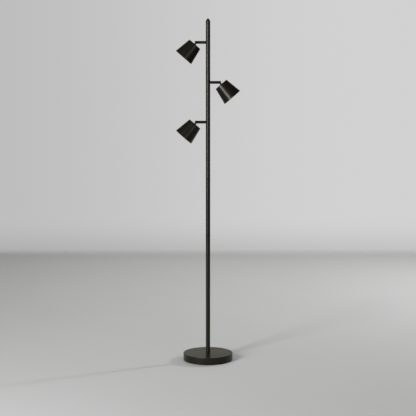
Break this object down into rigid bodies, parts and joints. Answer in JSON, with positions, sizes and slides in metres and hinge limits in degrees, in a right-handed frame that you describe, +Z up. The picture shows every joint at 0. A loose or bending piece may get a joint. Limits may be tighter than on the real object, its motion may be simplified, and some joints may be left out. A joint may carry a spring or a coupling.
{
  "type": "tree floor lamp",
  "caption": "Black tree floor lamp: a weighted round base, a slim pole with a pointed cap, and cone spotlights on short arms that swivel and tilt.",
  "frame": {"origin": "on the floor, under the pole's axis", "axes": "+Z up along the pole; the arms lie along X, two towards -X and one towards +X; the cable leaves the base towards +Y"},
  "size_m": [0.3192, 0.2515, 1.721],
  "materials": {
    "black_powder_coat": "satin black powder coat on steel",
    "cast_iron": "rough sand casting",
    "galvanised_steel": "galvanised sheet",
    "zinc_plated_steel": "bright zinc plate",
    "blackened_steel": "black oxide",
    "felt_pad": "pressed felt",
    "black_nylon": "moulded nylon",
    "white_nylon": "natural nylon",
    "lead_sleeve": "flexible plastic sleeve",
    "steatite_ceramic": "unglazed steatite",
    "bulb_housing": "moulded lamp housing",
    "bulb_diffuser": "frosted lens"
  },
  "bodies": {
    "stand": {"base_cover": "black_powder_coat", "lower_pole": "black_powder_coat", "middle_pole": "black_powder_coat", "upper_pole": "black_powder_coat", "pole_cap": "black_powder_coat", "base_weight": "cast_iron", "base_bottom_plate": "galvanised_steel", "bottom_plate_screws": "zinc_plated_steel", "base_nipple": "zinc_plated_steel", "base_flat_washer": "zinc_plated_steel", "base_lock_washer": "zinc_plated_steel", "base_nut": "zinc_plated_steel", "pole_thread_inserts": "zinc_plated_steel", "pole_coupler_studs": "zinc_plated_steel", "arm_nuts": "zinc_plated_steel", "arm_saddle_washers": "zinc_plated_steel", "swivel_set_screws": "zinc_plated_steel", "base_pad": "felt_pad", "cable_grommet": "black_nylon", "terminal_block": "white_nylon", "supply_lead": "lead_sleeve", "lower_arm": "black_powder_coat", "middle_arm": "black_powder_coat", "upper_arm": "black_powder_coat"},
    "lower_swivel": {"lower_knuckle": "black_powder_coat", "lower_tilt_screw": "blackened_steel", "lower_tilt_nut": "blackened_steel"},
    "lower_spotlight": {"lower_stem": "black_powder_coat", "lower_tilt_washers": "white_nylon", "lower_shade": "black_powder_coat", "lower_holder_bracket": "zinc_plated_steel", "lower_stem_nut": "zinc_plated_steel", "lower_lampholder": "steatite_ceramic", "lower_holder_screws": "zinc_plated_steel", "lower_bulb_body": "bulb_housing", "lower_bulb_lens": "bulb_diffuser"},
    "middle_swivel": {"middle_knuckle": "black_powder_coat", "middle_tilt_screw": "blackened_steel", "middle_tilt_nut": "blackened_steel"},
    "middle_spotlight": {"middle_stem": "black_powder_coat", "middle_tilt_washers": "white_nylon", "middle_shade": "black_powder_coat", "middle_holder_bracket": "zinc_plated_steel", "middle_stem_nut": "zinc_plated_steel", "middle_lampholder": "steatite_ceramic", "middle_holder_screws": "zinc_plated_steel", "middle_bulb_body": "bulb_housing", "middle_bulb_lens": "bulb_diffuser"},
    "upper_swivel": {"upper_knuckle": "black_powder_coat", "upper_tilt_screw": "blackened_steel", "upper_tilt_nut": "blackened_steel"},
    "upper_spotlight": {"upper_stem": "black_powder_coat", "upper_tilt_washers": "white_nylon", "upper_shade": "black_powder_coat", "upper_holder_bracket": "zinc_plated_steel", "upper_stem_nut": "zinc_plated_steel", "upper_lampholder": "steatite_ceramic", "upper_holder_screws": "zinc_plated_steel", "upper_bulb_body": "bulb_housing", "upper_bulb_lens": "bulb_diffuser"}
  },
  "joints": [
    {"name": "lower_swivel_turn", "type": "hinge", "parent": "stand", "child": "lower_swivel", "pos_m": [-0.057, 0, 1.2085], "axis": [-1, 0, 0], "range_deg": [-150, 150]},
    {"name": "lower_spotlight_tilt", "type": "hinge", "parent": "lower_swivel", "child": "lower_spotlight", "pos_m": [-0.057, 0, 1.2085], "axis": [0, 1, 0], "range_deg": [-36, 49]},
    {"name": "middle_swivel_turn", "type": "hinge", "parent": "stand", "child": "middle_swivel", "pos_m": [0.057, 0, 1.4055], "axis": [1, 0, 0], "range_deg": [-150, 150]},
    {"name": "middle_spotlight_tilt", "type": "hinge", "parent": "middle_swivel", "child": "middle_spotlight", "pos_m": [0.057, 0, 1.4055], "axis": [0, -1, 0], "range_deg": [-36, 49]},
    {"name": "upper_swivel_turn", "type": "hinge", "parent": "stand", "child": "upper_swivel", "pos_m": [-0.057, 0, 1.6025], "axis": [-1, 0, 0], "range_deg": [-150, 150]},
    {"name": "upper_spotlight_tilt", "type": "hinge", "parent": "upper_swivel", "child": "upper_spotlight", "pos_m": [-0.057, 0, 1.6025], "axis": [0, 1, 0], "range_deg": [-36, 49]}
  ]
}
